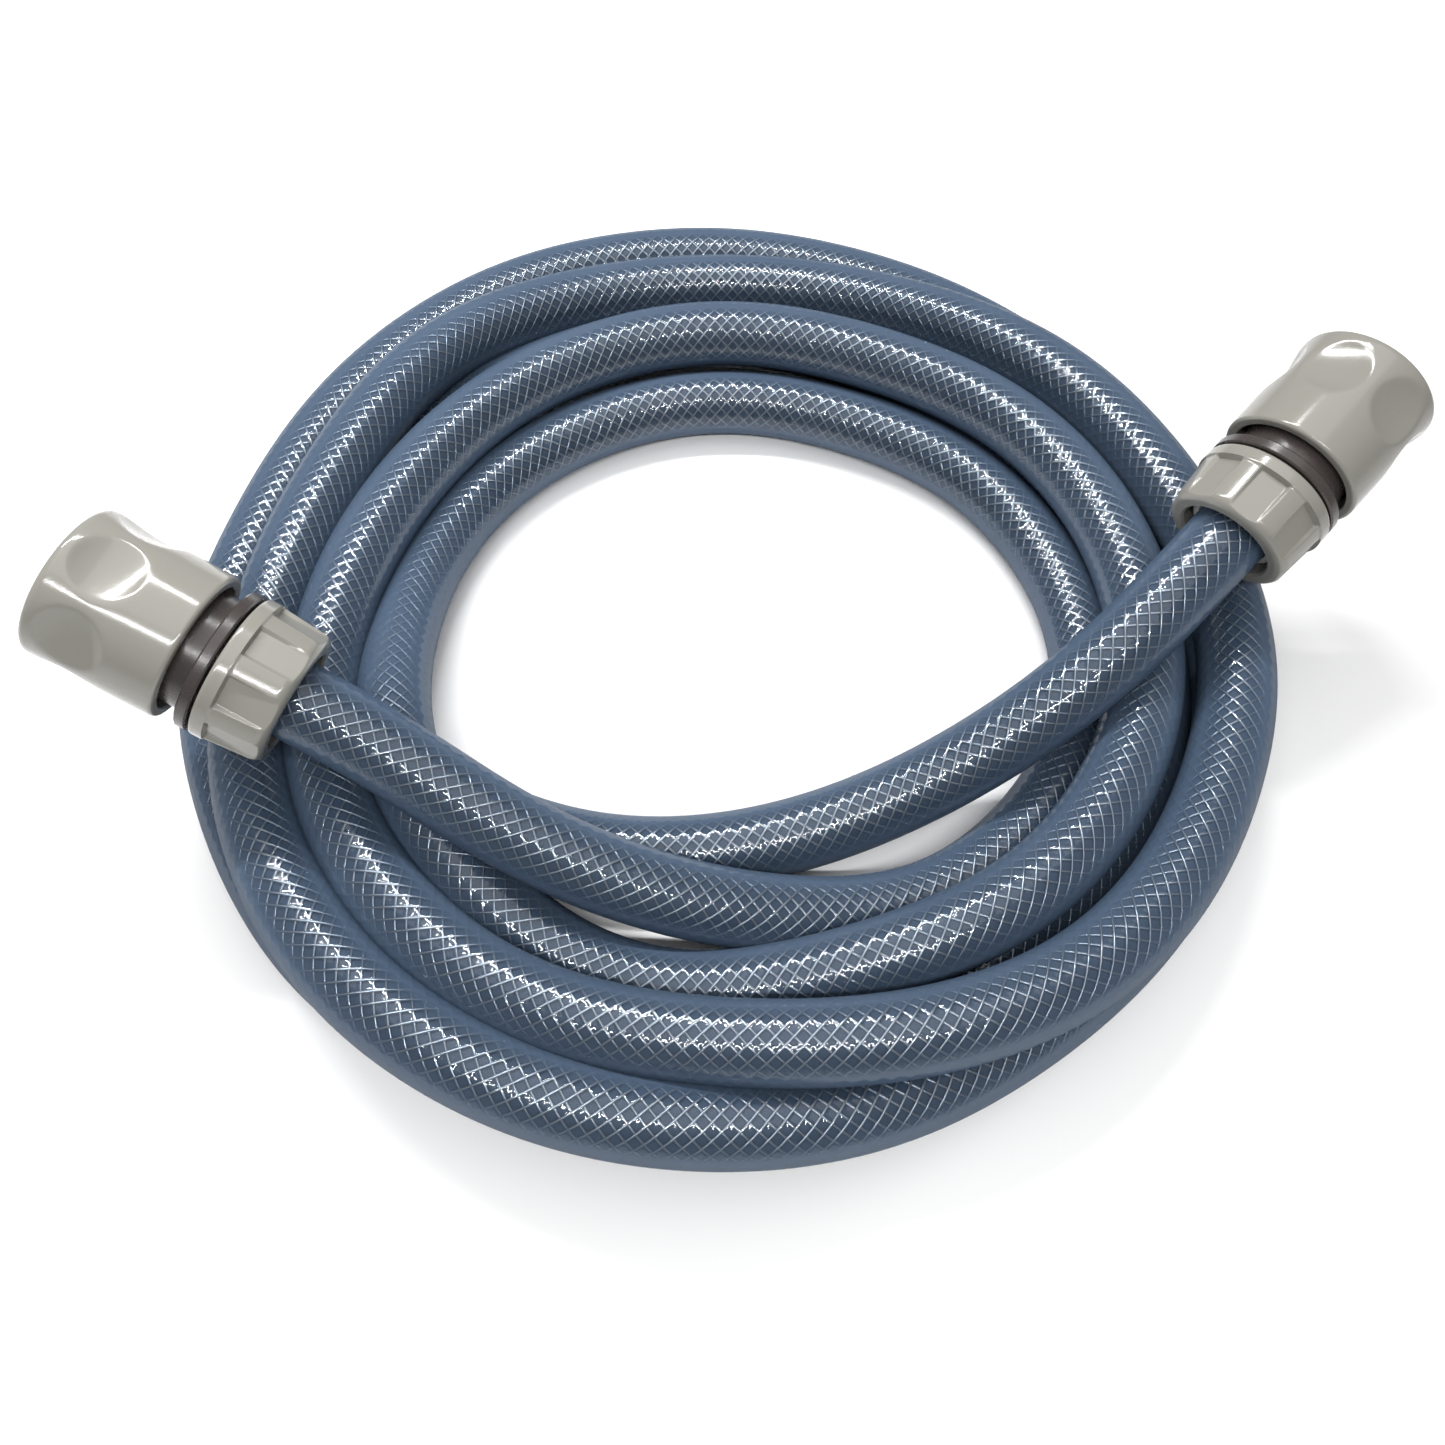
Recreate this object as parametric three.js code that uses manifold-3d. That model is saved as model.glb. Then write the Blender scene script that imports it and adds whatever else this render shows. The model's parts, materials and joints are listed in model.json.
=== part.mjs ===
// Braided drinking-water hose, about 3.7 m long, loosely coiled, with a click-on connector
// on each end. Millimetres, +Z up, lying on the plane z = 0.
import * as THREE from 'three';
import { mergeVertices } from 'three/addons/utils/BufferGeometryUtils.js';
import Module from 'manifold-3d';

const wasm = await Module();
wasm.setup();

// ---------------------------------------------------------------- driving dimensions

const clearance = 0.3;

const hose = { radius: 9, bore: 6.25, sides: 10, stepLength: 14 };

// The layout's own origin, seen from the part's frame.
const layoutOrigin = new THREE.Vector3(-10.07, -31, 0);

// Outer shape of the coiled turns: a round slab with an eccentric round hole.
const coil = {
  outerCentre: [-1, 31],
  outerRadius: 143.2,
  outerStretch: [0.977, 1, 1],
  holeCentre: [3, 15],
  holeRadius: 83,
  holeTopRadius: 98,
  height: 34,
  edge: 8,
  slopeStartY: 50,
  slope: THREE.MathUtils.degToRad(6.8),
  segments: 64,
};

// Each connector's mouth is where the hose leaves the clamp nut. The azimuth and tilt
// give the direction from there to the free end.
const connectors = [
  {
    prefix: 'inlet',
    mouth: [-91.5, -21.6, 50.4],
    azimuth: 158.1,
    tilt: 23.7,
    sleeveRoll: 2.5,
    nutRoll: 7.3,
  },
  {
    prefix: 'outlet',
    mouth: [116.8, 21.4, 49.7],
    azimuth: 44.4,
    tilt: 17.5,
    sleeveRoll: 40,
    nutRoll: 4,
  },
];

// Distances along a connector run from the mouth of its clamp nut to its free end.
const nut = {
  length: 15.4,
  mouthRadius: 11.2,
  threadRadius: 12.9,
  coneStart: 2.4,
  coneEnd: 4.8,
  endRadius: 15.5,
  collarRadius: 16.4,
  collarStart: 12.2,
  flutes: 8,
  fluteWidth: 7,
  fluteFloor: 14.7,
};

const body = {
  start: 2.6,
  pocketFloor: 13.6,
  flangeStart: 16,
  flangeEnd: 18.6,
  barrelEnd: 25.4,
  end: 50.6,
  waterway: 4.6,
  barbRoot: 5.4,
  barbCrest: 5.9,
  barbPitch: 3,
  barbs: 3,
  collarStart: 7.2,
  collarInner: 10.9,
  collarOuter: 12.5,
  flangeRadius: 16.3,
  barrelRadius: 13.2,
  tubeRadius: 11.3,
  socketRadius: 8.7,
  socketFloor: 26.6,
  grooveStart: 28.6,
  grooveEnd: 31.4,
  grooveRadius: 10.4,
};

const sleeve = {
  start: 22.8,
  end: 51.4,
  radius: 17,
  chamberRadius: 14.6,
  stepStart: 35.2,
  coneStart: 37.4,
  coneEnd: 45.6,
  coneStartRadius: 11.9,
  coneSlope: 0.325,
  round: 1.8,
  dimples: 6,
  dimpleAt: 41.4,
  dimpleDepth: 2,
};

const claw = {
  count: 3,
  width: 5.6,
  start: 38.2,
  end: 42.3,
  tipRadius: 7.7,
  tipStart: 39,
  tipEnd: 40.4,
  coneGap: 0.6,
};

const spring = { start: 26.3, end: 34.3, meanRadius: 13, wireRadius: 0.5, turns: 4 };
const seal = { centre: 30, meanRadius: 9.1, sectionRadius: 0.95 };
const retainer = { start: 48.1, end: 50.2, inner: 11.7, outer: 14.1 };
const grip = { start: 3.2, headEnd: 6.6, end: 12, inner: 9.3, head: 12.1, stem: 10.5, slit: 2 };

const segments = { outer: 36, inner: 28, small: 20 };

// ---------------------------------------------------------------- materials

const materials = {
  lightPlastic: new THREE.MeshStandardMaterial({ color: 0xaeaca2, roughness: 0.35, metalness: 0 }),
  darkPlastic: new THREE.MeshStandardMaterial({ color: 0x58504c, roughness: 0.45, metalness: 0 }),
  acetal: new THREE.MeshStandardMaterial({ color: 0xe2e2dc, roughness: 0.4, metalness: 0 }),
  rubber: new THREE.MeshStandardMaterial({ color: 0x1c1c1e, roughness: 0.8, metalness: 0 }),
  steel: new THREE.MeshStandardMaterial({ color: 0xb4b6ba, roughness: 0.3, metalness: 1 }),
  hoseWall: new THREE.MeshStandardMaterial({ color: 0x6c83a4, roughness: 0.25, metalness: 0 }),
};

// ---------------------------------------------------------------- solids

function signedVolume(position, index) {
  const a = new THREE.Vector3();
  const b = new THREE.Vector3();
  const c = new THREE.Vector3();
  let volume = 0;
  for (let i = 0; i < index.length; i += 3) {
    a.fromBufferAttribute(position, index[i]);
    b.fromBufferAttribute(position, index[i + 1]);
    c.fromBufferAttribute(position, index[i + 2]);
    volume += a.dot(b.cross(c)) / 6;
  }
  return volume;
}

// Merges the shared vertices, drops triangles of no area and turns the faces outward.
function closed(geometry) {
  const bare = geometry.clone();
  bare.deleteAttribute('normal');
  bare.deleteAttribute('uv');
  const merged = mergeVertices(bare, 1e-4);
  const kept = [];
  const source = merged.index.array;
  for (let i = 0; i < source.length; i += 3) {
    const [a, b, c] = [source[i], source[i + 1], source[i + 2]];
    if (a !== b && b !== c && c !== a) {
      kept.push(a, b, c);
    }
  }
  if (signedVolume(merged.attributes.position, kept) < 0) {
    kept.reverse();
  }
  merged.setIndex(kept);
  return merged;
}

function toManifold(geometry) {
  const solid = closed(geometry);
  return new wasm.Manifold(new wasm.Mesh({
    numProp: 3,
    vertProperties: new Float32Array(solid.attributes.position.array),
    triVerts: new Uint32Array(solid.index.array),
  }));
}

function fromManifold(manifold) {
  const mesh = manifold.getMesh();
  const geometry = new THREE.BufferGeometry();
  geometry.setAttribute('position', new THREE.BufferAttribute(mesh.vertProperties, 3));
  geometry.setIndex(new THREE.BufferAttribute(mesh.triVerts, 1));
  return geometry;
}

function subtract(geometry, cutters) {
  let result = toManifold(geometry);
  for (const cutter of cutters) {
    result = result.subtract(toManifold(cutter));
  }
  return fromManifold(result);
}

// Turns a profile of [radius, height] points about the Z axis.
function turned(profile, count) {
  const points = profile.map(([radius, height]) => new THREE.Vector2(radius, height));
  const first = profile[0];
  const last = profile[profile.length - 1];
  const onAxis = first[0] === 0 && last[0] === 0;
  if (!onAxis) {
    points.push(points[0].clone());
  }
  return closed(new THREE.LatheGeometry(points, count).rotateX(Math.PI / 2));
}

function around(count, make) {
  return Array.from({ length: count }, (_, i) => make((i * 2 * Math.PI) / count));
}

// ---------------------------------------------------------------- connector pieces

function lockingSleeveGeometry() {
  const s = sleeve;
  const coneRadius = s.coneStartRadius + s.coneSlope * (s.coneEnd - s.coneStart);
  const shell = turned([
    [s.chamberRadius, s.start],
    [s.radius - s.round / 2, s.start],
    [s.radius - s.round / 6, s.start + s.round / 4],
    [s.radius, s.start + s.round],
    [s.radius, s.end - s.round],
    [s.radius - s.round / 4, s.end - s.round / 3],
    [s.radius - s.round, s.end],
    [s.chamberRadius, s.end],
    [s.chamberRadius, s.coneEnd + 2],
    [coneRadius, s.coneEnd],
    [s.coneStartRadius, s.coneStart],
    [s.coneStartRadius, s.stepStart],
    [s.chamberRadius, s.stepStart],
  ], segments.outer);
  // A finger dimple is the dent of a flat ellipsoid.
  const radial = 8;
  const tangential = 22.5;
  const axial = 10.9;
  const dimples = around(s.dimples, (angle) => new THREE.SphereGeometry(1, 20, 14)
    .scale(radial, tangential, axial)
    .translate(s.radius + radial - s.dimpleDepth, 0, s.dimpleAt)
    .rotateZ(angle));
  return subtract(shell, dimples);
}

function innerBodyGeometry() {
  const b = body;
  const barbs = [];
  for (let i = 0; i < b.barbs; i += 1) {
    const crest = b.start + (i + 1) * b.barbPitch;
    barbs.push([b.barbCrest, crest], [b.barbRoot, crest]);
  }
  const shell = turned([
    [b.waterway, b.start],
    [b.barbRoot, b.start],
    ...barbs,
    [b.barbRoot, b.pocketFloor],
    [b.collarInner, b.pocketFloor],
    [b.collarInner, b.collarStart],
    [b.collarOuter, b.collarStart],
    [b.collarOuter, b.flangeStart],
    [b.flangeRadius, b.flangeStart],
    [b.flangeRadius, b.flangeEnd],
    [b.barrelRadius, b.flangeEnd],
    [b.barrelRadius, b.barrelEnd],
    [b.tubeRadius, b.barrelEnd],
    [b.tubeRadius, b.end],
    [b.socketRadius, b.end],
    [b.socketRadius, b.grooveEnd],
    [b.grooveRadius, b.grooveEnd],
    [b.grooveRadius, b.grooveStart],
    [b.socketRadius, b.grooveStart],
    [b.socketRadius, b.socketFloor],
    [b.waterway, b.socketFloor],
  ], segments.inner);
  const windowHeight = claw.end - claw.start + 2 * clearance;
  const windowDepth = 8;
  const windows = around(claw.count, (angle) => new THREE.BoxGeometry(
    windowDepth,
    claw.width + 2 * clearance,
    windowHeight,
  )
    .translate(b.tubeRadius, 0, (claw.start + claw.end) / 2)
    .rotateZ(angle));
  return subtract(shell, windows);
}

function clawGeometry() {
  const coneAt = (height) => sleeve.coneStartRadius + sleeve.coneSlope * (height - sleeve.coneStart)
    - claw.coneGap;
  const shape = new THREE.Shape();
  shape.moveTo(claw.tipRadius, claw.tipStart);
  shape.lineTo(claw.tipRadius + 1, claw.start);
  shape.lineTo(coneAt(claw.start), claw.start);
  shape.lineTo(coneAt(claw.end), claw.end);
  shape.lineTo(claw.tipRadius + 1.4, claw.end);
  shape.lineTo(claw.tipRadius, claw.tipEnd);
  return closed(new THREE.ExtrudeGeometry(shape, { depth: claw.width, bevelEnabled: false })
    .translate(0, 0, -claw.width / 2)
    .rotateX(Math.PI / 2));
}

function clampNutGeometry() {
  const n = nut;
  const shell = turned([
    [n.mouthRadius, 0],
    [n.endRadius - 2.3, 0],
    [n.endRadius - 0.8, 0.6],
    [n.endRadius, 2.4],
    [n.collarRadius - 0.3, n.collarStart - 0.4],
    [n.collarRadius, n.collarStart],
    [n.collarRadius, n.length - 0.6],
    [n.collarRadius - 0.4, n.length],
    [n.threadRadius, n.length],
    [n.threadRadius, n.coneEnd],
    [n.mouthRadius, n.coneStart],
  ], segments.outer);
  const cutterDepth = 6;
  const flutes = around(n.flutes, (angle) => new THREE.BoxGeometry(
    cutterDepth,
    n.fluteWidth,
    n.collarStart + 1,
  )
    .translate(n.fluteFloor + cutterDepth / 2, 0, (n.collarStart - 1) / 2)
    .rotateZ(angle));
  return subtract(shell, flutes);
}

function gripRingGeometry() {
  const g = grip;
  const ring = turned([
    [g.inner, g.start],
    [g.head - 1.5, g.start],
    [g.head, g.start + 1.7],
    [g.head, g.headEnd],
    [g.stem, g.headEnd],
    [g.stem, g.end],
    [g.inner, g.end],
  ], segments.inner);
  const slit = new THREE.BoxGeometry(8, g.slit, 20)
    .translate(g.stem, 0, (g.start + g.end) / 2);
  return subtract(ring, [slit]);
}

class Helix extends THREE.Curve {
  getPoint(t, target = new THREE.Vector3()) {
    const angle = t * spring.turns * 2 * Math.PI;
    return target.set(
      spring.meanRadius * Math.cos(angle),
      spring.meanRadius * Math.sin(angle),
      THREE.MathUtils.lerp(spring.start, spring.end, t),
    );
  }
}

function circleShape(radius, sides) {
  return new THREE.Shape(Array.from({ length: sides }, (_, i) => {
    const angle = (i * 2 * Math.PI) / sides;
    return new THREE.Vector2(radius * Math.cos(angle), radius * Math.sin(angle));
  }));
}

function tubeGeometry(curve, radius, sides, steps) {
  return closed(new THREE.ExtrudeGeometry(circleShape(radius, sides), {
    steps,
    extrudePath: curve,
  }));
}

function returnSpringGeometry() {
  return tubeGeometry(new Helix(), spring.wireRadius, 5, spring.turns * 12);
}

function sealRingGeometry() {
  const sides = 6;
  const profile = Array.from({ length: sides }, (_, i) => {
    const angle = (i * 2 * Math.PI) / sides;
    return [
      seal.meanRadius + seal.sectionRadius * Math.cos(angle),
      seal.centre + seal.sectionRadius * Math.sin(angle),
    ];
  });
  return turned(profile, segments.small);
}

function ringGeometry(inner, outer, start, end) {
  return turned([[inner, start], [outer, start], [outer, end], [inner, end]], segments.small);
}

function buildConnector({ prefix, mouth, azimuth, tilt, sleeveRoll, nutRoll }) {
  const connector = new THREE.Group();
  connector.position.set(...mouth);
  connector.rotation.set(
    0,
    THREE.MathUtils.degToRad(90 - tilt),
    THREE.MathUtils.degToRad(azimuth),
    'ZYX',
  );
  const add = (name, geometry, material, roll = 0) => {
    const mesh = new THREE.Mesh(geometry, material);
    mesh.name = `${prefix}_${name}`;
    mesh.rotation.z = THREE.MathUtils.degToRad(roll);
    connector.add(mesh);
  };
  const hoseEndTop = body.pocketFloor - clearance;
  add('locking_sleeve', lockingSleeveGeometry(), materials.lightPlastic, sleeveRoll);
  add('inner_body', innerBodyGeometry(), materials.darkPlastic);
  add('seal_ring', sealRingGeometry(), materials.rubber);
  add('return_spring', returnSpringGeometry(), materials.steel);
  add('retaining_ring', ringGeometry(retainer.inner, retainer.outer, retainer.start, retainer.end),
    materials.acetal);
  add('clamp_nut', clampNutGeometry(), materials.lightPlastic, nutRoll);
  add('grip_ring', gripRingGeometry(), materials.acetal);
  add('hose_end', ringGeometry(hose.bore, hose.radius, 0, hoseEndTop), materials.hoseWall);
  for (let i = 0; i < claw.count; i += 1) {
    add(`claw_${i + 1}`, clawGeometry(), materials.acetal, (i * 360) / claw.count);
  }
  return connector;
}

// ---------------------------------------------------------------- hose

// Points of the two free stretches, in the layout's own coordinates.
const inletTail = [
  [-83, -25, 46.4],
  [-74.5, -28.4, 42.4],
  [-58, -39.4, 36.1],
  [-40, -47.6, 31.2],
  [-22.5, -53.4, 26.5],
  [-5, -56.9, 21],
  [13, -58.2, 15.5],
  [30, -57.5, 11.4],
  [42, -55, 9.8],
  [59, -50.8, 9.1],
  [73.2, -41.9, 9.1],
];

const outletTail = [
  [-78, -18.2, 9.2],
  [-62, -28.8, 9.2],
  [-46, -36.6, 9.2],
  [-29.3, -40.6, 9.2],
  [-10.2, -41.1, 9.2],
  [9, -38.5, 9.6],
  [28.3, -32.9, 11.5],
  [47.3, -26.2, 16.5],
  [56.5, -22.3, 20.2],
  [65.5, -18.1, 25],
  [74.2, -13.7, 29.9],
  [83.3, -8.3, 34.4],
  [92.4, -2.2, 38.6],
  [103.2, 8.1, 43.7],
  [110, 14.7, 46.7],
];

// The coil's outer shape, grown by a margin on every side.
function coilSolid(margin) {
  const c = coil;
  const edge = c.edge;
  const outer = c.outerRadius + margin;
  const top = c.height + margin;
  const slab = turned([
    [0, -margin],
    [outer - edge, -margin],
    [outer - edge * 0.3, edge * 0.3 - margin],
    [outer, edge],
    [outer, edge * 1.6],
    [outer - edge * 0.5, top - edge],
    [outer - edge * 1.5, top],
    [0, top],
  ], c.segments)
    .scale(...c.outerStretch)
    .translate(...c.outerCentre, 0);
  const hole = turned([
    [0, -5],
    [c.holeRadius - margin, -5],
    [c.holeRadius - margin, 10],
    [c.holeRadius + 3 - margin, 18],
    [c.holeTopRadius - margin, top],
    [c.holeTopRadius - margin, top + 5],
    [0, top + 5],
  ], c.segments).translate(...c.holeCentre, 0);
  const size = 400;
  const slopeCut = new THREE.BoxGeometry(size, size, size)
    .translate(0, size / 2, size / 2)
    .rotateX(-c.slope)
    .translate(0, c.slopeStartY, top);
  return subtract(slab, [hole, slopeCut]);
}

// A free stretch of hose, trimmed where it runs into the coil.
function tailGeometry(points) {
  const vectors = points.map(([x, y, z]) => new THREE.Vector3(x, y, z));
  const curve = new THREE.CatmullRomCurve3(vectors, false, 'centripetal');
  const steps = Math.round(curve.getLength() / hose.stepLength);
  return subtract(tubeGeometry(curve, hose.radius, hose.sides, steps), [coilSolid(clearance)]);
}

// The point just outside a connector's mouth, on its axis.
function outside({ mouth, azimuth, tilt }) {
  const a = THREE.MathUtils.degToRad(azimuth);
  const t = THREE.MathUtils.degToRad(tilt);
  return [
    mouth[0] - clearance * Math.cos(t) * Math.cos(a),
    mouth[1] - clearance * Math.cos(t) * Math.sin(a),
    mouth[2] - clearance * Math.sin(t),
  ];
}

function addHose(group) {
  const [inlet, outlet] = connectors;
  const pieces = {
    hose_coil: coilSolid(0),
    hose_inlet_tail: tailGeometry([outside(inlet), ...inletTail]),
    hose_outlet_tail: tailGeometry([...outletTail, outside(outlet)]),
  };
  for (const [name, geometry] of Object.entries(pieces)) {
    const mesh = new THREE.Mesh(geometry, materials.hoseWall);
    mesh.name = name;
    group.add(mesh);
  }
}

// ---------------------------------------------------------------- assembly

const group = new THREE.Group();
group.position.copy(layoutOrigin);
addHose(group);
for (const connector of connectors) {
  group.add(buildConnector(connector));
}

export default group;
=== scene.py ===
"""Looks of the braided water hose with two click-on connectors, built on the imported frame.
Metres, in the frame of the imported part. Lengths marked _MM are millimetres."""

import json
import math

import bpy
import numpy as np
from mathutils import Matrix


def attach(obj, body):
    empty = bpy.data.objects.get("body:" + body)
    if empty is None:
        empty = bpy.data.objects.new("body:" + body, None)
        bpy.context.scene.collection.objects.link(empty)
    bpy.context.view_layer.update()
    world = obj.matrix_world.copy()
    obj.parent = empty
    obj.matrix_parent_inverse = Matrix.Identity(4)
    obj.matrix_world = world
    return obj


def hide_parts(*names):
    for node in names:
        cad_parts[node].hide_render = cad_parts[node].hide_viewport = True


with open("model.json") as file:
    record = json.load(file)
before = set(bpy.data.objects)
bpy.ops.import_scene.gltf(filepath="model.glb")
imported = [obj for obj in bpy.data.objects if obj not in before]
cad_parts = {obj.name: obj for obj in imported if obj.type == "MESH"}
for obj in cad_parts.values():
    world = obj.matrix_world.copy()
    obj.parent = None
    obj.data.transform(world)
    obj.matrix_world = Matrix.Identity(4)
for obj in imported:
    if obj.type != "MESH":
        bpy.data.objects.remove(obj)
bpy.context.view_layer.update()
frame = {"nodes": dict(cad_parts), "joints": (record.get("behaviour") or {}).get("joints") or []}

MM = 0.001
PREFIXES = ("inlet", "outlet")

# ---------------------------------------------------------------- driving dimensions

# The hose route's own origin in the frame of the part.
ROUTE_ORIGIN_MM = np.array([-10.07, -31.0, 0.0])
HOSE_RADIUS = 0.009
INNER_TUBE_RADIUS = 0.0077
# How far the hose runs into each connector, up to the bottom of its pocket.
HOSE_INSIDE = 0.0133
BRAID_PITCH = 0.0510
BRAID_YARNS = 14
# The two families of yarn: way round the hose, name and distance from the centreline.
BRAID_FAMILIES = ((1, "right", 0.00800), (-1, "left", 0.00824))
YARN_HALF_WIDTH = 0.00028
YARN_HALF_THICKNESS = 0.00017

# The free stretch from the inlet connector down into the hole of the coil.
INLET_MM = [
    (-91.5, -21.6, 50.4), (-83, -25, 46.4), (-74.5, -28.4, 42.4), (-58, -39.4, 36.1), (-40, -47.6, 31.2),
    (-22.5, -53.4, 26.5), (-5, -56.9, 21), (13, -58.2, 15.5), (30, -57.5, 11.4), (42, -55, 9.8),
]
# The coiled turns about this centre: degrees turned, distance from the centre, height.
COIL_CENTRE_MM = (3.0, 15.0)
COIL_MM = [
    (-50, 86.8, 9), (-38, 93, 9), (-25, 96.8, 9), (0, 94.4, 9), (20, 92.4, 9), (45, 91.2, 9),
    (90, 89.9, 9), (115, 89.1, 9), (135, 89.7, 10), (155, 89, 12.5), (175, 88.8, 18), (190, 89.2, 23.5),
    (204, 89.7, 26.2), (220, 90, 23.5), (236, 92.1, 18.5), (254, 92.4, 14.5), (275, 93.5, 14),
    (295, 94.4, 20), (315, 97.5, 24.5), (340, 101, 26), (360, 103, 26), (380, 103.5, 25),
    (405, 103.5, 24.5), (450, 104.8, 22.8), (475, 103, 22.8), (495, 101, 24.3), (515, 98, 24.5),
    (532, 98, 25), (550, 102, 26), (568, 106, 26), (585, 108, 25.5), (605, 108.5, 25), (630, 109.5, 25),
    (650, 111.5, 26), (675, 118, 26.5), (700, 121.1, 26.5), (720, 124.8, 26.5), (745, 124.3, 26),
    (765, 128.8, 22), (785, 131.3, 17.5), (810, 132.5, 15.5), (835, 130, 17.5), (855, 124, 22),
    (875, 117.5, 25), (892, 115, 25.8), (910, 116.5, 26), (928, 119, 26.5), (945, 120.3, 26.5),
    (968, 119, 24), (990, 113.2, 20), (1015, 109.7, 14.5), (1035, 113.9, 12), (1055, 120, 10),
    (1080, 128, 9), (1105, 132.5, 9), (1125, 137.8, 9), (1150, 143.4, 9), (1170, 151.1, 9),
    (1195, 153.3, 9), (1215, 148, 9), (1230, 142, 9), (1245, 136.6, 9), (1260, 136.6, 9), (1286, 128, 9),
    (1306, 123.9, 9), (1326, 116, 9), (1348, 109, 9), (1372, 104.5, 9), (1395, 102.8, 9), (1420, 106, 9),
    (1440, 109.5, 9), (1485, 112, 9), (1530, 116, 9), (1555, 118.5, 9), (1575, 121, 9), (1595, 121, 9),
    (1605.4, 117.5, 9), (1614.9, 112, 9), (1624.5, 104.5, 9), (1634.5, 95.5, 9), (1642, 87.9, 9),
]
# The free stretch from the coil across its hole and up to the outlet connector.
OUTLET_MM = [
    (-62, -28.8, 9.2), (-46, -36.6, 9.2), (-29.3, -40.6, 9.2), (-10.2, -41.1, 9.2), (9, -38.5, 9.6),
    (28.3, -32.9, 11.5), (47.3, -26.2, 16.5), (56.5, -22.3, 20.2), (65.5, -18.1, 25), (74.2, -13.7, 29.9),
    (83.3, -8.3, 34.4), (92.4, -2.2, 38.6), (103.2, 8.1, 43.7), (110, 14.7, 46.7), (116.8, 21.4, 49.7),
]

# Distances along a connector run from the mouth of its clamp nut to its free end.
NUT_MM = dict(length=15.4, mouth=11.2, thread=12.9, cone=(2.4, 4.8), end=15.5, collar=16.4,
              collar_start=12.2, flutes=8, flute_half=3.5, floor=14.7)
SLEEVE_MM = dict(start=22.8, end=51.4, radius=17.0, chamber=14.6, step=35.2, cone=(37.4, 45.6),
                 cone_radius=11.9, cone_slope=0.325, lip=0.9, shoulder=1.8, dimples=6,
                 dimple_at=41.4, dimple_depth=2.0, dimple=(8.0, 22.5, 10.9), dimple_blend=0.28,
                 dimple_skin=1.2)
BODY_MM = dict(start=2.6, barb_root=5.4, barb_crest=5.9, barb_pitch=3.0, barbs=3, waterway=4.6,
               pocket=13.6, collar_start=7.2, collar=(10.9, 12.5), flange=(16.0, 18.6),
               flange_radius=16.3, barrel_end=25.4, barrel=13.2, tube=11.3, socket=8.7,
               socket_floor=26.6, groove=(28.6, 31.4), groove_radius=10.4, end=50.6)
CLAW_MM = dict(count=3, width=6.2, start=37.9, end=42.6, window=(7.3, 13.0))
RETAINER_MM = dict(inner=11.7, outer=14.1, start=48.1, end=50.2)
SEAL_MM = dict(centre=30.0, mean=9.1, section=0.95)
# Degrees that each connector's sleeve and nut are turned about its axis.
ROLLS = {"inlet": dict(sleeve=2.5, nut=7.3), "outlet": dict(sleeve=40.0, nut=4.0)}

CAMERA_PLACE = (-0.01007, -0.17287, 0.26683)
CAMERA_TILT = 28
CAMERA_LENS = 28.65
FLOOR_HALF = 6.0
SURROUND_STRENGTH = 0.32

# ---------------------------------------------------------------- shader helpers


def new_material(name, colour):
    """A node material with a principled shader, its nodes and its links."""
    material = bpy.data.materials.new(name)
    material.use_nodes = True
    material.diffuse_color = (*colour, 1)
    nodes = material.node_tree.nodes
    return material, nodes, material.node_tree.links, nodes["Principled BSDF"]


def math_node(nodes, links, operation, first, second=None):
    """A math node fed by sockets or plain numbers."""
    node = nodes.new("ShaderNodeMath")
    node.operation = operation
    for slot, value in enumerate((first, second)):
        if value is None:
            continue
        if isinstance(value, (int, float)):
            node.inputs[slot].default_value = value
        else:
            links.new(value, node.inputs[slot])
    return node.outputs[0]


def noise(nodes, links, scale, detail=3.0):
    """Noise in the piece's own coordinates, from 0 to 1."""
    place = nodes.new("ShaderNodeTexCoord")
    node = nodes.new("ShaderNodeTexNoise")
    node.inputs["Scale"].default_value = scale
    node.inputs["Detail"].default_value = detail
    links.new(place.outputs["Object"], node.inputs["Vector"])
    return node.outputs["Fac"]


def spread(nodes, links, value, low, high, start=0.35, end=0.65):
    """Maps a 0 to 1 value to low to high."""
    node = nodes.new("ShaderNodeMapRange")
    node.inputs["From Min"].default_value = start
    node.inputs["From Max"].default_value = end
    node.inputs["To Min"].default_value = low
    node.inputs["To Max"].default_value = high
    links.new(value, node.inputs["Value"])
    return node.outputs["Result"]


def blend_colours(nodes, links, value, first, second):
    """A colour between two, by a 0 to 1 value."""
    node = nodes.new("ShaderNodeMix")
    node.data_type = "RGBA"
    colour_inputs = [i for i in node.inputs if i.type == "RGBA"]
    colour_inputs[0].default_value = (*first, 1)
    colour_inputs[1].default_value = (*second, 1)
    links.new(value, node.inputs["Factor"])
    return [o for o in node.outputs if o.type == "RGBA"][0]


def bumped(nodes, links, height, distance, strength=1.0):
    """A normal from a height."""
    node = nodes.new("ShaderNodeBump")
    node.inputs["Distance"].default_value = distance
    node.inputs["Strength"].default_value = strength
    links.new(height, node.inputs["Height"])
    return node.outputs["Normal"]


# ---------------------------------------------------------------- materials


def moulded_plastic(name, colour, roughness, swing):
    """Moulded plastic: a faint tone drift, uneven gloss and a fine skin."""
    grain = 0.00002
    material, nodes, links, shader = new_material(name, colour)
    drift = noise(nodes, links, 90.0, 2.0)
    darker = tuple(c * (1 - swing) for c in colour)
    lighter = tuple(min(1.0, c * (1 + swing)) for c in colour)
    links.new(blend_colours(nodes, links, drift, darker, lighter), shader.inputs["Base Color"])
    smudges = noise(nodes, links, 700.0, 2.0)
    gloss = spread(nodes, links, smudges, roughness * 0.92, roughness * 1.1)
    links.new(gloss, shader.inputs["Roughness"])
    fine = noise(nodes, links, 2600.0, 2.0)
    links.new(bumped(nodes, links, fine, grain, 0.5), shader.inputs["Normal"])
    return material


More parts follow.
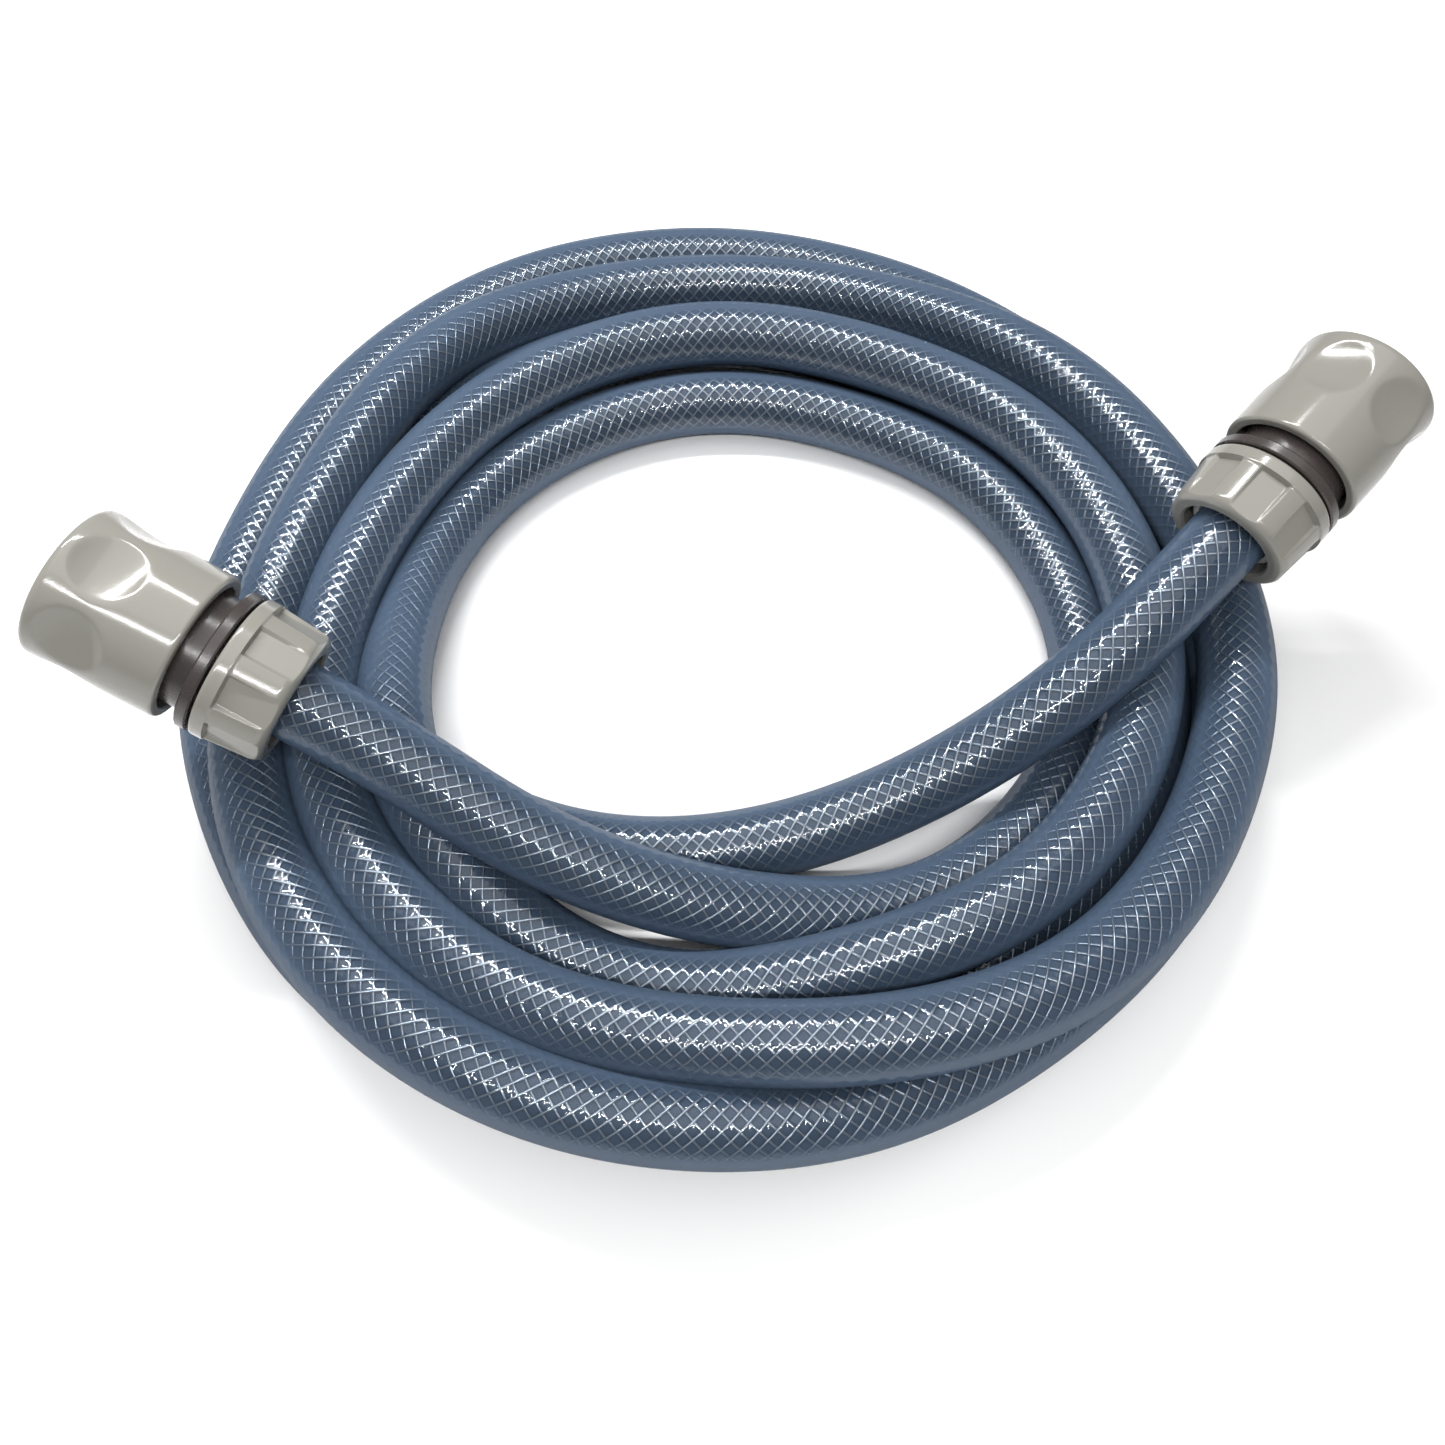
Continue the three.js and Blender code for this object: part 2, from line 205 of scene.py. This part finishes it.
def rubber_material():
    """Black rubber with a dusty skin."""
    material, nodes, links, shader = new_material("seal_rubber", (0.012, 0.012, 0.013))
    dust = noise(nodes, links, 400.0, 5.0)
    tone = blend_colours(nodes, links, dust, (0.008, 0.008, 0.009), (0.02, 0.02, 0.021))
    links.new(tone, shader.inputs["Base Color"])
    shader.inputs["Roughness"].default_value = 0.6
    links.new(bumped(nodes, links, dust, 0.00003, 0.6), shader.inputs["Normal"])
    return material


def steel_material():
    """Drawn spring wire with uneven gloss."""
    material, nodes, links, shader = new_material("spring_steel", (0.55, 0.56, 0.58))
    shader.inputs["Metallic"].default_value = 1.0
    drawn = noise(nodes, links, 900.0, 3.0)
    tone = blend_colours(nodes, links, drawn, (0.5, 0.51, 0.53), (0.62, 0.63, 0.65))
    links.new(tone, shader.inputs["Base Color"])
    links.new(spread(nodes, links, drawn, 0.2, 0.36), shader.inputs["Roughness"])
    return material


def braid_height(nodes, links, power):
    """Ridges over the two families of yarn, from the along and around of a hose surface."""
    place = nodes.new("ShaderNodeUVMap")
    place.uv_map = "UVMap"
    parts = nodes.new("ShaderNodeSeparateXYZ")
    links.new(place.outputs["UV"], parts.inputs["Vector"])
    ridges = []
    for operation in ("SUBTRACT", "ADD"):
        phase = math_node(nodes, links, operation, parts.outputs["Y"], parts.outputs["X"])
        turn = math_node(nodes, links, "MULTIPLY", phase, 2 * math.pi * BRAID_YARNS)
        wave = math_node(nodes, links, "COSINE", turn)
        half = math_node(nodes, links, "MULTIPLY", wave, 0.5)
        level = math_node(nodes, links, "ADD", half, 0.5)
        ridges.append(math_node(nodes, links, "POWER", level, power))
    return math_node(nodes, links, "MAXIMUM", *ridges)


def skin_material():
    """The clear outer layer: tinted, thin to look through from above and denser at its edges."""
    material, nodes, links, milky = new_material("hose_skin", (0.3, 0.42, 0.6))
    height = braid_height(nodes, links, 3.0)
    normal = bumped(nodes, links, height, 0.00014, 0.40)
    cloudy = noise(nodes, links, 35.0, 3.0)
    tone = blend_colours(nodes, links, cloudy, (0.056, 0.086, 0.134), (0.076, 0.110, 0.164))
    links.new(tone, milky.inputs["Base Color"])
    milky.inputs["Roughness"].default_value = 0.3
    milky.inputs["Specular IOR Level"].default_value = 0.0
    links.new(normal, milky.inputs["Normal"])
    clear = nodes.new("ShaderNodeBsdfTransparent")
    clear.inputs["Color"].default_value = (0.78, 0.83, 0.88, 1)
    facing = nodes.new("ShaderNodeLayerWeight")
    facing.inputs["Blend"].default_value = 0.35
    share = spread(nodes, links, facing.outputs["Facing"], 0.10, 0.95, 0.07, 0.32)
    body = nodes.new("ShaderNodeMixShader")
    links.new(share, body.inputs[0])
    links.new(clear.outputs[0], body.inputs[1])
    links.new(milky.outputs[0], body.inputs[2])
    gloss = nodes.new("ShaderNodeBsdfGlossy")
    gloss.inputs["Roughness"].default_value = 0.06
    links.new(normal, gloss.inputs["Normal"])
    mirror = nodes.new("ShaderNodeFresnel")
    mirror.inputs["IOR"].default_value = 1.5
    links.new(normal, mirror.inputs["Normal"])
    surface = nodes.new("ShaderNodeMixShader")
    links.new(spread(nodes, links, mirror.outputs[0], 0.04, 0.13, 0.04, 0.4), surface.inputs[0])
    links.new(body.outputs[0], surface.inputs[1])
    links.new(gloss.outputs[0], surface.inputs[2])
    links.new(surface.outputs[0], nodes["Material Output"].inputs["Surface"])
    return material


def inner_tube_material():
    """The blue inner layer under the braid."""
    material, nodes, links, shader = new_material("hose_inner", (0.1, 0.18, 0.34))
    cloudy = noise(nodes, links, 50.0, 4.0)
    tone = blend_colours(nodes, links, cloudy, (0.057, 0.085, 0.126), (0.084, 0.114, 0.162))
    links.new(tone, shader.inputs["Base Color"])
    shader.inputs["Roughness"].default_value = 0.45
    shader.inputs["Specular IOR Level"].default_value = 0.25
    shader.inputs["Subsurface Weight"].default_value = 0.25
    shader.inputs["Subsurface Radius"].default_value = (0.3, 0.6, 1.0)
    shader.inputs["Subsurface Scale"].default_value = 0.004
    return material


def yarn_material():
    """White polyester yarn with silky filaments."""
    material, nodes, links, shader = new_material("hose_yarn", (0.8, 0.84, 0.88))
    fibres = noise(nodes, links, 1500.0, 4.0)
    tone = blend_colours(nodes, links, fibres, (0.50, 0.53, 0.58), (0.78, 0.81, 0.84))
    links.new(tone, shader.inputs["Base Color"])
    shader.inputs["Roughness"].default_value = 0.28
    shader.inputs["Metallic"].default_value = 0.8
    links.new(bumped(nodes, links, fibres, 0.00008, 0.6), shader.inputs["Normal"])
    return material


def floor_material():
    """A plain pale matt floor."""
    material, nodes, links, shader = new_material("floor", (0.9, 0.9, 0.9))
    even = noise(nodes, links, 3.0, 1.0)
    tone = blend_colours(nodes, links, even, (0.90, 0.90, 0.90), (0.92, 0.92, 0.92))
    links.new(tone, shader.inputs["Base Color"])
    shader.inputs["Roughness"].default_value = 0.9
    shader.inputs["Specular IOR Level"].default_value = 0.1
    return material


LIGHT_GREY = moulded_plastic("light_grey_plastic", (0.235, 0.229, 0.203), 0.14, 0.02)
DARK = moulded_plastic("dark_plastic", (0.046, 0.038, 0.035), 0.26, 0.08)
ACETAL = moulded_plastic("acetal", (0.72, 0.72, 0.68), 0.35, 0.03)
RUBBER = rubber_material()
STEEL = steel_material()
SKIN = skin_material()
INNER = inner_tube_material()
YARN = yarn_material()

# ---------------------------------------------------------------- mesh helpers


def add_mesh(name, vertices, faces, material, body):
    """A smooth-shaded mesh that rides on a CAD body."""
    mesh = bpy.data.meshes.new(name)
    mesh.from_pydata(vertices.tolist(), [], faces.tolist())
    mesh.validate()
    mesh.polygons.foreach_set("use_smooth", [True] * len(mesh.polygons))
    mesh.materials.append(material)
    piece = bpy.data.objects.new(name, mesh)
    bpy.context.scene.collection.objects.link(piece)
    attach(piece, body)
    return piece


def grid_faces(rows, columns, wrap_rows=False):
    """Quads of a grid whose columns close on themselves."""
    row = np.arange(rows if wrap_rows else rows - 1)
    column = np.arange(columns)
    a, b = np.meshgrid(row, column, indexing="ij")
    next_a = (a + 1) % rows
    next_b = (b + 1) % columns
    quads = [a * columns + b, a * columns + next_b, next_a * columns + next_b, next_a * columns + b]
    return np.stack(quads, -1).reshape(-1, 4)


def sharpen(piece, degrees):
    """Keeps edges sharper than this angle crisp."""
    bpy.context.view_layer.objects.active = piece
    piece.select_set(True)
    bpy.ops.object.shade_smooth_by_angle(angle=math.radians(degrees))
    piece.select_set(False)


# ---------------------------------------------------------------- hose


def catmull_rom(points, step):
    """A smooth line through points, as points evenly spaced by about step."""
    points = np.asarray(points, float)
    held = np.vstack([2 * points[0] - points[1], points, 2 * points[-1] - points[-2]])
    line = []
    for i in range(1, len(held) - 2):
        p = held[i - 1:i + 3]
        t = np.concatenate([[0], np.cumsum(np.linalg.norm(np.diff(p, axis=0), axis=1) ** 0.5)])
        u = np.linspace(t[1], t[2], 24, endpoint=False)[:, None]
        first = [((t[k + 1] - u) * p[k] + (u - t[k]) * p[k + 1]) / (t[k + 1] - t[k]) for k in range(3)]
        second = [((t[k + 2] - u) * first[k] + (u - t[k]) * first[k + 1]) / (t[k + 2] - t[k])
                  for k in range(2)]
        line.append(((t[2] - u) * second[0] + (u - t[1]) * second[1]) / (t[2] - t[1]))
    line.append(points[-1:])
    return evenly(np.vstack(line), step)


def evenly(line, step):
    """The same line with its points evenly spaced by about step."""
    along = np.concatenate([[0], np.cumsum(np.linalg.norm(np.diff(line, axis=0), axis=1))])
    wanted = np.linspace(0, along[-1], int(round(along[-1] / step)) + 1)
    return np.stack([np.interp(wanted, along, line[:, k]) for k in range(3)], 1)


def settled(line, step=8.0, apart=17.2, rounds=200, floor=9.0, held=4):
    """The line after the turns have pushed each other apart, bent smoothly and settled."""
    stiffness, drop, pull_back, neighbour_reach = 0.3, 0.02, 0.015, 32
    line = evenly(line, step)
    start = line.copy()
    index = np.arange(len(line))
    far = np.abs(index[:, None] - index[None, :]) > int(neighbour_reach / step)
    for _ in range(rounds):
        sag = np.zeros_like(line)
        sag[1:-1] = 0.5 * (line[:-2] + line[2:]) - line[1:-1]
        stiff = np.zeros_like(line)
        stiff[1:-1] = 0.5 * (sag[:-2] + sag[2:]) - sag[1:-1]
        line = line - stiffness * stiff
        line[:, 2] -= drop
        line += (start - line) * pull_back
        between = line[:, None, :] - line[None, :, :]
        distance = np.sqrt((between ** 2).sum(2))
        touching = far & (distance < apart)
        push = np.where(touching, (apart - distance) / (distance + 1e-9), 0)
        count = np.maximum(touching.sum(1), 1)
        line += (between * push[:, :, None]).sum(1) * 0.5 / count[:, None] ** 0.5
        line[:, 2] = np.maximum(line[:, 2], floor)
        line[:held] = start[:held]
        line[-held:] = start[-held:]
    return line


def coil_points():
    """The coiled turns as points in the route's own frame."""
    points = []
    for degrees, distance, height in COIL_MM:
        turn = math.radians(degrees)
        points.append((
            COIL_CENTRE_MM[0] + distance * math.cos(turn),
            COIL_CENTRE_MM[1] + distance * math.sin(turn),
            height,
        ))
    return points


def hose_line():
    """The whole hose's centreline in metres, both ends inside their connectors."""
    route = catmull_rom(INLET_MM + coil_points() + OUTLET_MM, 4.0)
    route = (catmull_rom(settled(route), 3.0) + ROUTE_ORIGIN_MM) * MM
    start_in = CONNECTORS["inlet"]["mouth"] + CONNECTORS["inlet"]["axis"] * HOSE_INSIDE
    end_in = CONNECTORS["outlet"]["mouth"] + CONNECTORS["outlet"]["axis"] * HOSE_INSIDE
    return evenly(np.vstack([start_in, route, end_in]), 0.002)


def carried_frames(line):
    """Two directions square to the line at each point, carried along without twisting."""
    tangent = np.gradient(line, axis=0)
    tangent /= np.linalg.norm(tangent, axis=1)[:, None]
    side = np.cross(tangent[0], [0.0, 0.0, 1.0])
    side /= np.linalg.norm(side)
    first = np.zeros_like(line)
    for i, along in enumerate(tangent):
        side = side - along * side.dot(along)
        side /= np.linalg.norm(side)
        first[i] = side
    return first, np.cross(tangent, first)


def smooth_line(line, rounds):
    """Evens out the small kinks of a line."""
    line = line.copy()
    for _ in range(rounds):
        line[2:-2] = (line[:-4] + 4 * line[1:-3] + 6 * line[2:-2] + 4 * line[3:-1] + line[4:]) / 16
    return line


def tube_mesh(name, line, radius, sides, material):
    """A tube of the line with its along and around kept as UV, its ends left open."""
    first, second = carried_frames(line)
    turn = np.linspace(0, 2 * math.pi, sides, endpoint=False)
    out = np.cos(turn)[None, :, None] * first[:, None] + np.sin(turn)[None, :, None] * second[:, None]
    vertices = (line[:, None] + out * radius).reshape(-1, 3)
    piece = add_mesh(name, vertices, grid_faces(len(line), sides), material, "root")
    gap = np.linalg.norm(np.diff(line, axis=0), axis=1)
    along = np.concatenate([[0], np.cumsum(gap)]) / BRAID_PITCH
    loops = np.zeros(len(piece.data.loops), np.int32)
    piece.data.loops.foreach_get("vertex_index", loops)
    row, column = loops // sides, loops % sides
    quads = column.reshape(-1, 4)
    closing = (quads.max(1) == sides - 1) & (quads.min(1) == 0)
    around = quads / sides
    around[closing] = np.where(quads[closing] == 0, 1.0, around[closing])
    uv = piece.data.uv_layers.new(name="UVMap")
    uv.data.foreach_set("uv", np.stack([along[row], around.reshape(-1)], 1).astype(np.float32).ravel())
    return piece


def braid_mesh(name, line, way, radius):
    """One family of yarns as flat ribbons round the inner layer."""
    first, second = carried_frames(line)
    tangent = np.cross(first, second)
    gap = np.linalg.norm(np.diff(line, axis=0), axis=1)
    along = np.concatenate([[0], np.cumsum(gap)])
    slope = way * 2 * math.pi * radius / BRAID_PITCH
    corners = np.array([
        (YARN_HALF_WIDTH, 0), (0, YARN_HALF_THICKNESS),
        (-YARN_HALF_WIDTH, 0), (0, -YARN_HALF_THICKNESS),
    ])
    vertices, faces = [], []
    for yarn in range(BRAID_YARNS):
        turn = way * 2 * math.pi * along / BRAID_PITCH + yarn * 2 * math.pi / BRAID_YARNS
        out = np.cos(turn)[:, None] * first + np.sin(turn)[:, None] * second
        around = -np.sin(turn)[:, None] * first + np.cos(turn)[:, None] * second
        run = tangent + slope * around
        run /= np.linalg.norm(run, axis=1)[:, None]
        across = np.cross(out, run)
        centre = line + out * radius
        ring = (centre[:, None] + across[:, None] * corners[None, :, :1]
                + out[:, None] * corners[None, :, 1:])
        vertices.append(ring.reshape(-1, 3))
        faces.append(grid_faces(len(line), 4) + yarn * len(line) * 4)
    return add_mesh(name, np.vstack(vertices), np.vstack(faces), YARN, "root")


def build_hose():
    """The hose: clear skin, two families of yarn and the blue inner layer."""
    line = smooth_line(hose_line(), 44)
    skin = tube_mesh("hose_skin", line, HOSE_RADIUS, 28, SKIN)
    inner = tube_mesh("hose_inner_layer", evenly(line, 0.004), INNER_TUBE_RADIUS, 20, INNER)
    for way, label, radius in BRAID_FAMILIES:
        braid_mesh(f"hose_braid_{label}", line, way, radius)
    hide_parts("hose_coil", "hose_inlet_tail", "hose_outlet_tail",
                "inlet_hose_end", "outlet_hose_end")


# ---------------------------------------------------------------- connectors


def connector_frames():
    """Each connector's nut mouth, axis towards the free end and two square directions."""
    joints = {j["name"]: j for j in frame["joints"]}
    frames = {}
    for prefix in PREFIXES:
        turn = joints[f"{prefix}_nut_turn"]
        axis = -np.array(turn["axis"], float)
        down = np.array(joints[f"{prefix}_claw_1_lift"]["axis"], float)
        frames[prefix] = dict(
            mouth=np.array(turn["pos_m"], float),
            axis=axis / np.linalg.norm(axis),
            down=down / np.linalg.norm(down),
        )
        frames[prefix]["side"] = np.cross(frames[prefix]["axis"], frames[prefix]["down"])
    return frames


def placed(prefix, radius, turn, height):
    """Points at radius, turn about the axis and height along it, in the frame of the part."""
    f = CONNECTORS[prefix]
    out = np.cos(turn)[..., None] * f["down"] + np.sin(turn)[..., None] * f["side"]
    return f["mouth"] + out * (radius * MM)[..., None] + (height * MM)[..., None] * f["axis"]


def turned_mesh(name, prefix, profile, count, material, body, shape=None, rings=None):
    """A closed turned piece. shape(radius, turn, height) carves its first rows, as many as rings."""
    profile = np.array(profile, float)
    turn = np.linspace(0, 2 * math.pi, count, endpoint=False)
    radius = np.repeat(profile[:, :1], count, axis=1)
    height = np.repeat(profile[:, 1:2], count, axis=1)
    turns = np.repeat(turn[None, :], len(profile), axis=0)
    if shape is not None:
        radius[:rings] = shape(radius[:rings], turns[:rings], height[:rings])
    vertices = placed(prefix, radius, turns, height).reshape(-1, 3)
    faces = grid_faces(len(profile), count, wrap_rows=True)
    return add_mesh(name, vertices, faces, material, body)


def rounded(points, fine):
    """Adds points along the straight runs of a profile so that no run is longer than fine."""
    out = []
    for a, b in zip(points, points[1:]):
        a, b = np.array(a, float), np.array(b, float)
        pieces = max(1, int(math.ceil(np.linalg.norm(b - a) / fine)))
        out += [tuple(a + (b - a) * k / pieces) for k in range(pieces)]
    out.append(tuple(points[-1]))
    return out


def arc(centre_radius, centre_height, size, start, end, count):
    """Points of a profile's rounded corner, angles in degrees from the outward direction."""
    turns = np.radians(np.linspace(start, end, count))
    return [(centre_radius + size * math.cos(t), centre_height + size * math.sin(t)) for t in turns]


def build_sleeve(prefix):
    """The light grey outer sleeve with its finger dimples."""
    s = SLEEVE_MM
    lip, shoulder = s["lip"], s["shoulder"]
    outer = [(s["chamber"], s["start"] + 0.3), (s["chamber"] + 0.3, s["start"])]
    outer += arc(s["radius"] - lip, s["start"] + lip, lip, -90, 0, 7)
    outer += arc(s["radius"] - shoulder, s["end"] - shoulder, shoulder, 0, 90, 9)
    outer += [(s["chamber"] + 0.25, s["end"]), (s["chamber"], s["end"] - 0.25)]
    outer = rounded(outer, 0.4)
    cone_top = s["cone_radius"] + s["cone_slope"] * (s["cone"][1] - s["cone"][0])
    inner = [
        (s["chamber"], s["cone"][1] + 2), (cone_top, s["cone"][1]),
        (s["cone_radius"], s["cone"][0]), (s["cone_radius"], s["step"]), (s["chamber"], s["step"]),
    ]
    deep, wide, tall = s["dimple"]
    middle = s["radius"] + deep - s["dimple_depth"]
    roll = math.radians(ROLLS[prefix]["sleeve"])

    def dimpled(radius, turn, height):
        step = 2 * math.pi / s["dimples"]
        off = (turn - roll + step / 2) % step - step / 2
        # Where the ray at this turn first meets the ellipsoid of the dimple.
        a = np.cos(off) ** 2 / deep ** 2 + np.sin(off) ** 2 / wide ** 2
        b = -2 * middle * np.cos(off) / deep ** 2
        c = middle ** 2 / deep ** 2 + (height - s["dimple_at"]) ** 2 / tall ** 2 - 1
        inside = b ** 2 - 4 * a * c
        hit = (-b - np.sqrt(np.maximum(inside, 0))) / (2 * a)
        missed = -10.0
        below = np.where(inside > 0, radius - hit, missed)
        carved = 0.5 * (below + np.sqrt(below ** 2 + s["dimple_blend"] ** 2))
        return np.where(radius > s["radius"] - s["dimple_skin"], radius - carved, radius)

    piece = turned_mesh(f"{prefix}_sleeve", prefix, outer + inner, 300, LIGHT_GREY,
                        f"{prefix}_sleeve", dimpled, len(outer))
    sharpen(piece, 38)
    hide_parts(f"{prefix}_locking_sleeve")


def soft_step(value):
    """0 below 0, 1 above 1 and smooth between."""
    value = np.clip(value, 0, 1)
    return value * value * (3 - 2 * value)


def build_nut(prefix):
    """The light grey clamp nut with its flutes."""
    n = NUT_MM
    outer = [(n["mouth"], 0.5), (n["mouth"] + 0.5, 0.0)]
    outer += arc(n["end"] - 2.4, 2.4, 2.4, -90, 0, 10)
    outer += [(n["collar"] - 0.3, n["collar_start"] - 0.4), (n["collar"], n["collar_start"])]
    outer += arc(n["collar"] - 0.7, n["length"] - 0.7, 0.7, 0, 90, 5)
    outer += [(n["thread"] + 0.3, n["length"]), (n["thread"], n["length"] - 0.3)]
    outer = rounded(outer, 0.35)
    inner = [(n["thread"], n["cone"][1]), (n["mouth"], n["cone"][0])]
    roll = math.radians(ROLLS[prefix]["nut"])

    # How far a flute's side and its foot at the collar take to fade out.
    edge, foot = 0.6, 0.4

    def fluted(radius, turn, height):
        step = 2 * math.pi / n["flutes"]
        off = (turn - roll + step / 2) % step - step / 2
        flat = n["floor"] / np.cos(off)
        across = np.abs(flat * np.sin(off))
        inside = soft_step((n["flute_half"] + edge / 2 - across) / edge)
        below = soft_step((n["collar_start"] - height) / foot)
        return radius - np.maximum(radius - flat, 0) * inside * below

    piece = turned_mesh(f"{prefix}_nut", prefix, outer + inner, 384, LIGHT_GREY,
                        f"{prefix}_nut", fluted, len(outer))
    sharpen(piece, 38)
    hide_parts(f"{prefix}_clamp_nut")


def build_body(prefix):
    """The dark inner body: barbs, collar, flange, barrel and socket with windows for the claws."""
    b = BODY_MM
    profile = [(b["waterway"], b["start"]), (b["barb_root"], b["start"])]
    for i in range(b["barbs"]):
        crest = b["start"] + (i + 1) * b["barb_pitch"]
        profile += [(b["barb_crest"], crest), (b["barb_root"], crest)]
    inner_collar, outer_collar = b["collar"]
    low, high = b["flange"]
    edge = 0.35
    profile += [
        (b["barb_root"], b["pocket"]), (inner_collar, b["pocket"]), (inner_collar, b["collar_start"]),
        (outer_collar, b["collar_start"]), (outer_collar, low), (b["flange_radius"] - edge, low),
        (b["flange_radius"], low + edge), (b["flange_radius"], high - edge),
        (b["flange_radius"] - edge, high), (b["barrel"] + edge, high), (b["barrel"], high + edge),
        (b["barrel"], b["barrel_end"] - edge), (b["barrel"] - edge, b["barrel_end"]),
        (b["tube"], b["barrel_end"]), (b["tube"], b["end"] - edge), (b["tube"] - edge, b["end"]),
        (b["socket"] + edge, b["end"]), (b["socket"], b["end"] - edge),
        (b["socket"], b["groove"][1]), (b["groove_radius"], b["groove"][1]),
        (b["groove_radius"], b["groove"][0]), (b["socket"], b["groove"][0]),
        (b["socket"], b["socket_floor"]), (b["waterway"], b["socket_floor"]),
    ]
    piece = turned_mesh(f"{prefix}_body", prefix, profile, 96, DARK, "root")
    for i in range(CLAW_MM["count"]):
        cut_window(piece, prefix, i * 2 * math.pi / CLAW_MM["count"])
    sharpen(piece, 30)
    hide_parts(f"{prefix}_inner_body")


def cut_window(piece, prefix, angle):
    """A claw's window through the wall of the socket."""
    half = CLAW_MM["width"] / 2
    corners = []
    for radial in CLAW_MM["window"]:
        for across in (-half, half):
            for height in (CLAW_MM["start"], CLAW_MM["end"]):
                turn = angle + math.atan2(across, radial)
                corners.append((math.hypot(radial, across), turn, height))
    corners = np.array(corners)
    points = placed(prefix, corners[:, 0], corners[:, 1], corners[:, 2])
    faces = [(0, 1, 3, 2), (4, 6, 7, 5), (0, 4, 5, 1), (2, 3, 7, 6), (0, 2, 6, 4), (1, 5, 7, 3)]
    mesh = bpy.data.meshes.new("window")
    mesh.from_pydata(points.tolist(), [], faces)
    cutter = bpy.data.objects.new("window", mesh)
    bpy.context.scene.collection.objects.link(cutter)
    bpy.context.view_layer.objects.active = cutter
    cutter.select_set(True)
    bpy.ops.object.mode_set(mode="EDIT")
    bpy.ops.mesh.select_all(action="SELECT")
    bpy.ops.mesh.normals_make_consistent(inside=False)
    bpy.ops.object.mode_set(mode="OBJECT")
    cutter.select_set(False)
    cut = piece.modifiers.new("window", "BOOLEAN")
    cut.operation = "DIFFERENCE"
    cut.object = cutter
    bpy.context.view_layer.objects.active = piece
    bpy.ops.object.modifier_apply(modifier="window")
    bpy.data.objects.remove(cutter)


def build_rings(prefix):
    """The retaining ring near the free end and the seal ring in the socket."""
    r = RETAINER_MM
    edge = 0.25
    profile = [
        (r["inner"], r["start"]), (r["outer"] - edge, r["start"]), (r["outer"], r["start"] + edge),
        (r["outer"], r["end"] - edge), (r["outer"] - edge, r["end"]), (r["inner"] + edge, r["end"]),
        (r["inner"], r["end"] - edge),
    ]
    ring = turned_mesh(f"{prefix}_retainer", prefix, profile, 96, ACETAL, "root")
    sharpen(ring, 30)
    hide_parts(f"{prefix}_retaining_ring")
    s = SEAL_MM
    section = [(s["mean"] + s["section"] * math.cos(t), s["centre"] + s["section"] * math.sin(t))
               for t in np.linspace(0, 2 * math.pi, 16, endpoint=False)]
    seal = turned_mesh(f"{prefix}_seal", prefix, section, 72, RUBBER, "root")
    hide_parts(f"{prefix}_seal_ring")


def finish_cad_nodes(prefix):
    """Materials of the CAD pieces that are shown as they are."""
    for name, material in (("return_spring", STEEL), ("grip_ring", ACETAL),
                           ("claw_1", ACETAL), ("claw_2", ACETAL), ("claw_3", ACETAL)):
        node = frame["nodes"][f"{prefix}_{name}"]
        node.data.materials.clear()
        node.data.materials.append(material)


# ---------------------------------------------------------------- stage


def area_light(name, place, size, power):
    """A rectangular lamp that leans towards the object about X, its long side along X."""
    lamp = bpy.data.lights.new(name, "AREA")
    lamp.shape = "RECTANGLE"
    lamp.size, lamp.size_y = size
    lamp.energy = power
    thing = bpy.data.objects.new(name, lamp)
    thing.location = place
    thing.rotation_euler = (math.atan2(-place[1], place[2]), 0, 0)
    bpy.context.scene.collection.objects.link(thing)


def build_stage():
    """A pale floor, a white surround and soft lamps."""
    mesh = bpy.data.meshes.new("floor")
    far = FLOOR_HALF
    corners = [(-far, -far, 0), (far, -far, 0), (far, far, 0), (-far, far, 0)]
    mesh.from_pydata(corners, [], [(0, 1, 2, 3)])
    mesh.materials.append(floor_material())
    ground = bpy.data.objects.new("floor", mesh)
    bpy.context.scene.collection.objects.link(ground)
    area_light("strip_back", (-0.155, 0.22, 0.48), (0.42, 0.014), 3.0)
    area_light("strip_front", (-0.01, -0.33, 0.56), (0.5, 0.014), 2.2)
    area_light("overhead", (0, 0.1, 1.3), (1.2, 1.2), 6.0)
    world = bpy.data.worlds.new("surround")
    world.use_nodes = True
    background = world.node_tree.nodes["Background"]
    background.inputs["Color"].default_value = (1, 1, 1, 1)
    background.inputs["Strength"].default_value = SURROUND_STRENGTH
    bpy.context.scene.world = world


def build_camera():
    """The camera, above and in front of the coil."""
    data = bpy.data.cameras.new("camera")
    data.lens = CAMERA_LENS
    data.sensor_width = 36.0
    data.clip_start = 0.01
    data.clip_end = 20.0
    camera = bpy.data.objects.new("camera", data)
    camera.location = CAMERA_PLACE
    camera.rotation_euler = (math.radians(CAMERA_TILT), 0, 0)
    bpy.context.scene.collection.objects.link(camera)
    bpy.context.scene.camera = camera


build_camera()
CONNECTORS = connector_frames()
build_hose()
for prefix in PREFIXES:
    build_sleeve(prefix)
    build_nut(prefix)
    build_body(prefix)
    build_rings(prefix)
    finish_cad_nodes(prefix)
build_stage()
bpy.context.scene.view_settings.view_transform = "Standard"
